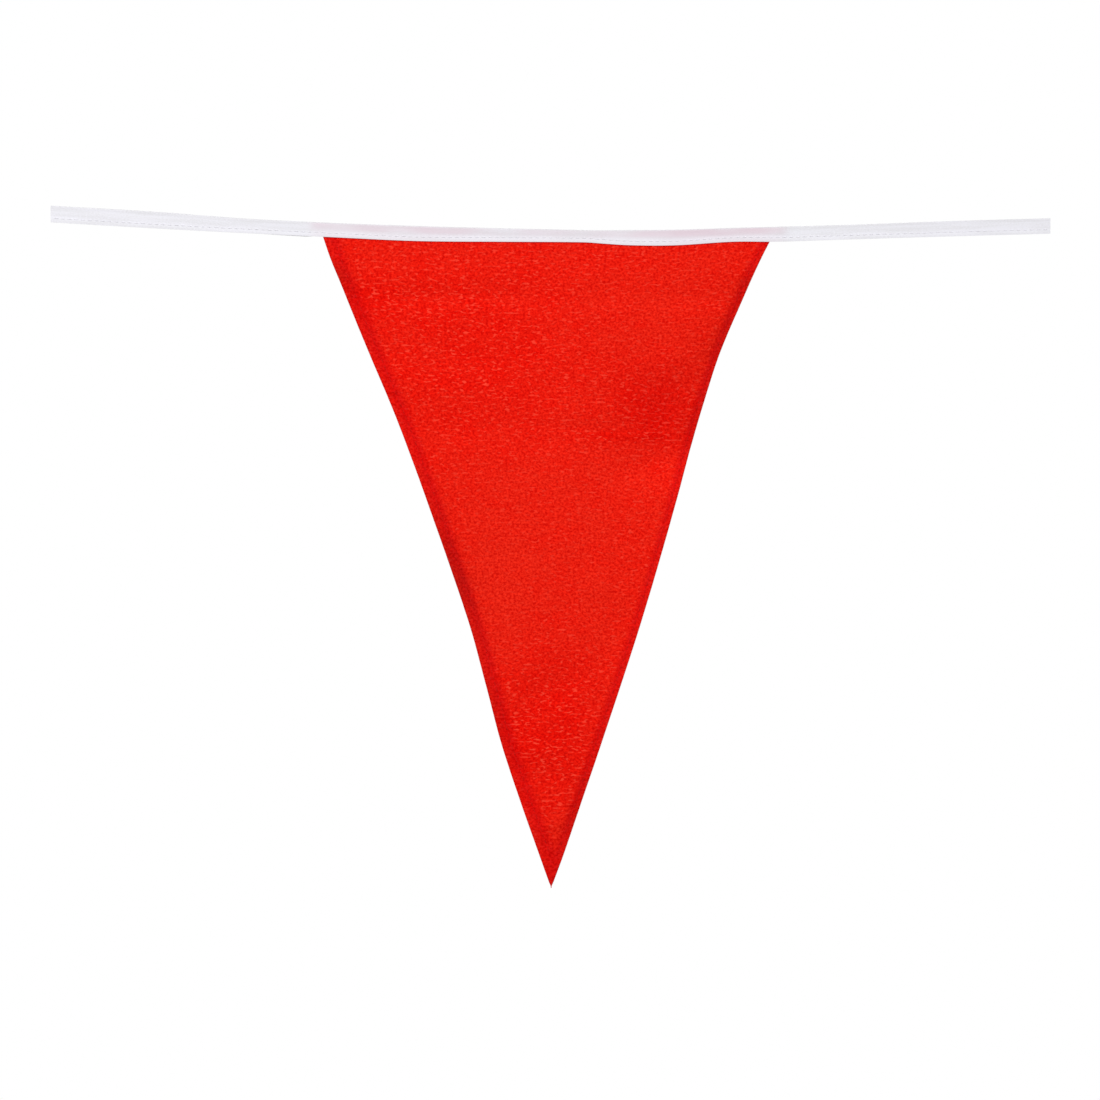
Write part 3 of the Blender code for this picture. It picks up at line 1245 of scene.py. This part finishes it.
@dataclass(frozen=True)
class Stitch:
    """One stitch that shows: a short bow of thread whose ends dive into the cloth."""

    length: float = 2.5
    diameter: float = 0.28
    sides: int = 8
    spans: int = 6
    dive: float = 0.3
    slimmer: float = 0.45

    def build(self, name: str) -> bpy.types.Object:
        """Model the stitch once, along X with its bow towards +Z.

        Args:
            name: Name of the new piece.

        Returns:
            The piece, which the seams copy.
        """
        deselect_all()
        bpy.ops.mesh.primitive_cylinder_add(
            vertices=self.sides,
            radius=self.diameter / 2 * MM,
            depth=self.length * MM,
            rotation=(0, math.pi / 2, 0),
        )
        piece = bpy.context.active_object
        piece.name = name
        bpy.ops.object.transform_apply(location=True, rotation=True, scale=True)
        self.cut_spans()
        half = self.length / 2 * MM
        for vertex in piece.data.vertices:
            share = min(abs(vertex.co.x) / half, 1.0)
            slim = 1 - self.slimmer * share**4
            vertex.co.y *= slim
            vertex.co.z = vertex.co.z * slim - self.dive * MM * share**3
        return piece

    def cut_spans(self) -> None:
        """Cut the active cylinder across into even spans."""
        bpy.ops.object.mode_set(mode="EDIT")
        for cut in range(1, self.spans):
            bpy.ops.mesh.select_all(action="SELECT")
            at = (cut / self.spans - 0.5) * self.length * MM
            bpy.ops.mesh.bisect(plane_co=(at, 0, 0), plane_no=(1, 0, 0))
        bpy.ops.object.mode_set(mode="OBJECT")


def sew(
    name: str, pattern: bpy.types.Object, places: list[tuple[Vector, Vector, Vector]]
) -> bpy.types.Object:
    """Copy a stitch to each place of a seam and join the copies.

    Args:
        name: Name of the joined piece.
        pattern: The stitch, along X with its bow towards +Z.
        places: For each copy its two ends, and the way out of the cloth.

    Returns:
        The joined piece.
    """
    copies = []
    for start, end, out in places:
        along = (end - start).normalized()
        aside = out.cross(along).normalized()
        up = along.cross(aside)
        turn = Matrix((along, aside, up)).transposed().to_4x4()
        copy = bpy.data.objects.new(name, pattern.data.copy())
        bpy.context.scene.collection.objects.link(copy)
        copy.data.transform(Matrix.Translation((start + end) / 2) @ turn)
        copies.append(copy)
    deselect_all()
    for copy in copies:
        copy.select_set(True)
    bpy.context.view_layer.objects.active = copies[0]
    bpy.ops.object.join()
    seam = bpy.context.active_object
    seam.name = name
    seam.data.name = name
    bpy.ops.object.shade_smooth()
    return seam


# The sub-assemblies


@dataclass
class Pennant:
    """The hemmed triangle of cloth with the two seams that hold its hems."""

    shape: ClothShape
    finish: WarpKnitPolyester = field(default_factory=WarpKnitPolyester)
    thread: SewingThread = field(
        default_factory=lambda: SewingThread("spun_polyester_thread_red", light="E01A10", shade="BC1610")
    )
    cell: float = 1.25
    stitch: Stitch = field(default_factory=Stitch)
    stitch_pitch: float = 3.0
    first_stitch: float = 17.0
    last_stitch: float = 7.0
    stitch_lift: float = 0.1
    spare_aside: float = 2.0
    spare_below: float = 3.0
    seam_cuts: tuple[float, ...] = (-1.6, -0.8, 0.0, 0.8)

    def build(self) -> list[bpy.types.Object]:
        """Build and dress the cloth and its stitches.

        Returns:
            The pieces, the cloth first.
        """
        cloth = self.cut_cloth()
        self.hang_cloth(cloth)
        cloth.data.materials.append(self.finish.build())
        seams = self.sew_hems()
        seams.data.materials.append(self.thread.build())
        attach(cloth, "root")
        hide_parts("pennant")
        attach(seams, "root")
        return [cloth, seams]

    def bisect_along(self, side: Side, beyond: float, clear: bool = False) -> None:
        """Cut the active flat cloth along a line at a distance beyond one side's outline.

        Args:
            side: Which side.
            beyond: Distance beyond its outline.
            clear: Whether what lies further out is cut away.
        """
        across, down = self.shape.on_edge(side, 0.0, beyond)
        length = self.shape.edge_length
        normal = (side.value * self.shape.drop / length, -self.shape.half_width / length)
        self.bisect_at(across, down, normal, clear)

    def bisect_at(self, across: float, down: float, normal: tuple[float, float], clear: bool) -> None:
        """Cut the active flat cloth along a straight line.

        Args:
            across: Flat place that the line goes through, to the right of the middle.
            down: The same place below the level of the tape's fold.
            normal: The line's unit normal on the flat cut, to the right and up.
            clear: Whether what lies beyond the line is cut away.
        """
        bpy.ops.mesh.select_all(action="SELECT")
        bpy.ops.mesh.bisect(
            plane_co=(across * MM, -down * MM, 0),
            plane_no=(*normal, 0),
            clear_outer=clear,
            threshold=0.00002,
        )

    def cut_cloth(self) -> bpy.types.Object:
        """Cut the flat cloth out of a grid, with lines where it will be folded and sewn.

        Returns:
            The flat cloth.
        """
        shape = self.shape
        half = shape.half_width + shape.cut_beyond + self.spare_aside
        foot = -shape.drop - self.spare_below
        cloth = flat_grid("pennant_cloth", -half, half, foot, -shape.top, self.cell, self.cell)
        bpy.ops.object.mode_set(mode="EDIT")
        angle = 2 * math.atan2(shape.half_width, shape.drop)
        tip = shape.drop + shape.fold_beyond * shape.edge_length / shape.half_width
        top_corner = (shape.drop - shape.top) * shape.edge_length / shape.drop
        for side in Side:
            self.bisect_along(side, shape.cut_beyond, clear=True)
            self.bisect_at(0.0, tip, (side.value * math.cos(angle), -math.sin(angle)), clear=True)
            corner, top = shape.on_edge(side, top_corner, shape.fold_beyond)
            self.bisect_at(corner, top, (side.value * math.sin(angle), math.cos(angle)), clear=True)
            for step in range(5):
                self.bisect_along(side, (step * math.pi / 4 - 1) * shape.fold_radius)
            for off in self.seam_cuts:
                self.bisect_along(side, off - shape.seam_in(side))
        bpy.ops.mesh.select_all(action="SELECT")
        bpy.ops.mesh.remove_doubles(threshold=0.00003)
        bpy.ops.object.mode_set(mode="OBJECT")
        return cloth

    def hang_cloth(self, cloth: bpy.types.Object) -> None:
        """Turn the flat cloth's hems and hang it in its folds.

        Args:
            cloth: The flat cloth.
        """
        shape = self.shape
        store_weave(cloth)
        deeper = []
        painted_glint_and_sheen = []
        for vertex in cloth.data.vertices:
            across = vertex.co.x / MM
            down = -vertex.co.y / MM
            side = Side.LEFT if across < 0 else Side.RIGHT
            beyond = shape.beyond(side, across, down)
            deeper.append(shape.painted_shade(across, down))
            painted_glint_and_sheen.append(shape.painted_glint_and_sheen(across, down))
            behind = 0.0
            if beyond > -shape.fold_radius:
                turned, behind = shape.turned(beyond)
                across, down = shape.on_edge(side, shape.up_edge(side, across, down), turned)
                if turned < -shape.fold_radius:
                    behind = shape.hem_gap(turned + shape.seam_in(side))
            vertex.co = shape.place(across, down, behind)
        store_values(cloth, "painted_shade", deeper)
        store_values(cloth, "painted_glint_and_sheen", painted_glint_and_sheen)
        apply_thickness(cloth, shape.layer)

    def sew_hems(self) -> bpy.types.Object:
        """Sew both hems, with the stitches of both faces in one piece.

        Returns:
            The joined stitches.
        """
        shape = self.shape
        pattern = self.stitch.build("stitch_pattern")
        places = []
        last = shape.edge_length * (1 - (shape.top + self.last_stitch) / shape.drop)
        count = int((last - self.first_stitch) / self.stitch_pitch)
        half = self.stitch.length / 2
        for side in Side:
            for index in range(count):
                for face in Face:
                    middle = self.first_stitch + (index + 0.5 * (face is Face.BACK)) * self.stitch_pitch
                    start = shape.sewn(side, middle - half, face, 0.0)
                    end = shape.sewn(side, middle + half, face, 0.0)
                    across, down = shape.on_edge(side, middle, -shape.seam_in(side))
                    out = shape.facing(across, down) * face.value
                    lift = out * self.stitch_lift * MM
                    places.append((start + lift, end + lift, out))
        seams = sew("pennant_hem_stitches", pattern, places)
        bpy.data.objects.remove(pattern)
        return seams


@dataclass
class Tape:
    """The folded ribbon with the seam along its lower edge."""

    shape: TapeShape
    finish: WovenRibbon = field(default_factory=WovenRibbon)
    thread: SewingThread = field(
        default_factory=lambda: SewingThread("spun_polyester_thread_white", light="F4F3F8", shade="DEDCE4")
    )
    cell_along: float = 1.0
    cell_across: float = 0.5
    stitch: Stitch = field(default_factory=lambda: Stitch(length=2.4, diameter=0.2, dive=0.18))
    stitch_lift: float = 0.05
    hem_end_x: float = 103.0

    def build(self) -> list[bpy.types.Object]:
        """Build and dress the ribbon and its stitches.

        Returns:
            The pieces, the ribbon first.
        """
        ribbon = self.fold_ribbon()
        ribbon.data.materials.append(self.finish.build())
        seam = self.sew_edge()
        seam.data.materials.append(self.thread.build())
        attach(ribbon, "root")
        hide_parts("tape")
        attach(seam, "root")
        return [ribbon, seam]

    def fold_ribbon(self) -> bpy.types.Object:
        """Fold the flat ribbon along its length, round the pennant's top.

        Returns:
            The folded ribbon.
        """
        shape = self.shape
        half = shape.length / 2
        ribbon = flat_grid("tape_ribbon", -half, half, 0.0, shape.width, self.cell_along, self.cell_across)
        store_weave(ribbon)
        inside = []
        painted_ribbon_shade = []
        for vertex in ribbon.data.vertices:
            x = vertex.co.x / MM
            run = vertex.co.y / MM
            inside.append(self.tint_at(x, run))
            painted_ribbon_shade.append(self.painted_ribbon_shade_at(x, run))
            vertex.co = shape.place(x, run)
        store_values(ribbon, "cloth_inside", inside)
        store_values(ribbon, "painted_ribbon_shade", painted_ribbon_shade)
        apply_thickness(ribbon, shape.thickness)
        return ribbon

    def tint_at(self, x: float, run: float) -> float:
        """Say how much of the red cloth shows through the ribbon.

        Args:
            x: Place along the tape.
            run: Distance across the flat ribbon.

        Returns:
            The share of the tint, strongest along the cloth's top edge.
        """
        leaf = self.shape.leaf(x)
        below_fold = leaf - run if run < leaf else run - leaf
        fade = ease(below_fold, 0.0, 0.8) * (1 - 0.65 * ease(below_fold, 2.2, 4.4))
        uneven = 0.42 + 0.4 * mottle(x, below_fold, 14.0, 4.0, 5.0)
        for tint in TINTS:
            uneven += tint.more * bell(x - tint.x, tint.reach)
        return self.shape.cloth_inside(x) * fade * min(max(uneven, 0.0), 1.0)

    def painted_ribbon_shade_at(self, x: float, run: float) -> float:
        """Say how much painted shade greys the ribbon along its fold and its edges and over the hem's end.

        Args:
            x: Place along the tape.
            run: Distance across the flat ribbon.

        Returns:
            The share of painted shade, most at the fold.
        """
        below_fold = abs(self.shape.leaf(x) - run)
        from_edge = min(run, self.shape.width - run)
        fold = 0.5 * (1 - ease(below_fold, 0.3, 1.6)) + 0.5 * (1 - ease(below_fold, 0.6, 4.5))
        hem_end = 0.5 * bell(x - self.hem_end_x, 3.0) * (1 - ease(below_fold, 2.0, 5.0))
        return max(fold, 0.4 * (1 - ease(from_edge, 0.2, 1.8)), hem_end)

    def sew_edge(self) -> bpy.types.Object:
        """Sew along the tape's lower edge, with the stitches of both faces in one piece.

        Returns:
            The joined stitches.
        """
        shape = self.shape
        pattern = self.stitch.build("stitch_pattern")
        pitch = shape.stitch_pitch
        count = int(shape.length / pitch)
        half = self.stitch.length / 2
        places = []
        for index in range(count):
            x = (index - (count - 1) / 2) * pitch
            for face in Face:
                out = Vector((0.0, float(face.value), 0.0))
                start = shape.seam(x - half, face, self.stitch_lift)
                end = shape.seam(x + half, face, self.stitch_lift)
                places.append((start, end, out))
        seam = sew("tape_stitches", pattern, places)
        bpy.data.objects.remove(pattern)
        return seam


# The studio round the part


class SoftBox(NamedTuple):
    """A soft light: its name, its place, its width and height in metres, and its power."""

    name: str
    x: float
    y: float
    z: float
    wide: float
    high: float
    watts: float


@dataclass
class Studio:
    """A plain pale floor, soft lights, a white surround and the camera at the photograph's angle."""

    frame_width: float = 493.9
    lens: float = 100.0
    sensor: float = 36.0
    eye_aside: float = -0.22
    eye_level: float = -143.8
    floor_drop: float = 1800.0
    floor_size: float = 3200.0
    surround: float = 0.39
    aim: tuple[float, float, float] = (0.0, 0.0, -0.14)
    boxes: tuple[SoftBox, ...] = (
        SoftBox("key_light", -0.55, -1.65, 1.55, 1.2, 1.2, 36.0),
        SoftBox("fill_light", 0.2, -2.0, 0.0, 1.4, 1.4, 8.0),
        SoftBox("back_light", 0.6, 1.8, 1.0, 1.4, 1.4, 30.0),
    )

    def build(self) -> None:
        """Make the floor, the lights, the surround and the camera."""
        self.lay_floor()
        for box in self.boxes:
            self.hang_light(box)
        self.make_surround()
        self.place_camera()
        bpy.context.scene.view_settings.view_transform = "Standard"

    def lay_floor(self) -> None:
        """Lay the floor far below, out of the camera's view."""
        half = self.floor_size / 2
        cell = self.floor_size / 8
        floor = flat_grid("studio_floor", -half, half, -half, half, cell, cell)
        for vertex in floor.data.vertices:
            vertex.co.z = -self.floor_drop * MM
        floor.data.materials.append(MattPaint().build())

    def hang_light(self, box: SoftBox) -> None:
        """Hang one soft light, turned to the part.

        Args:
            box: Its place, size and power.
        """
        light = bpy.data.lights.new(box.name, "AREA")
        light.shape = "RECTANGLE"
        light.size = box.wide
        light.size_y = box.high
        light.energy = box.watts
        lamp = bpy.data.objects.new(box.name, light)
        lamp.location = (box.x, box.y, box.z)
        lamp.rotation_euler = (Vector(self.aim) - lamp.location).to_track_quat("-Z", "Y").to_euler()
        lamp.visible_camera = False
        bpy.context.scene.collection.objects.link(lamp)

    def make_surround(self) -> None:
        """Make the white surround, which lights the part less strongly than it shows."""
        world = bpy.data.worlds.new("white_surround")
        world.use_nodes = True
        bpy.context.scene.world = world
        tree = world.node_tree
        tree.nodes.clear()
        seen = add_node(tree, "ShaderNodeBackground", {}, {"Color": (1, 1, 1, 1), "Strength": 1.0})
        lights = add_node(tree, "ShaderNodeBackground", {}, {"Color": (1, 1, 1, 1), "Strength": self.surround})
        path = add_node(tree, "ShaderNodeLightPath", {}, {})
        both = add_node(
            tree,
            "ShaderNodeMixShader",
            {},
            {0: path.outputs["Is Camera Ray"], 1: lights.outputs[0], 2: seen.outputs[0]},
        )
        add_node(tree, "ShaderNodeOutputWorld", {}, {"Surface": both.outputs[0]})

    def place_camera(self) -> None:
        """Place the camera level with the middle of the photograph, looking straight at the cloth."""
        data = bpy.data.cameras.new("camera")
        data.lens = self.lens
        data.sensor_width = self.sensor
        camera = bpy.data.objects.new("camera", data)
        distance = self.frame_width * self.lens / self.sensor
        camera.location = (self.eye_aside * MM, -distance * MM, self.eye_level * MM)
        camera.rotation_euler = (math.pi / 2, 0.0, 0.0)
        bpy.context.scene.collection.objects.link(camera)
        bpy.context.scene.camera = camera


def report_piece(piece: bpy.types.Object) -> None:
    """Log a piece's size and its count of triangles."""
    size = " x ".join(f"{side / MM:.1f}" for side in piece.dimensions)
    triangles = sum(len(face.vertices) - 2 for face in piece.data.polygons)
    log.info("%s: %s mm, %d triangles", piece.name, size, triangles)


def main() -> None:
    """Build the bunting's looks in order."""
    logging.basicConfig(level=logging.INFO, format="%(name)s: %(message)s")
    tape_shape = TapeShape()
    cloth_shape = ClothShape(tape=tape_shape)
    pieces = Tape(tape_shape).build()
    pieces += Pennant(cloth_shape).build()
    Studio().build()
    bpy.context.view_layer.update()
    for piece in pieces:
        report_piece(piece)


if __name__ == "__main__":
    main()
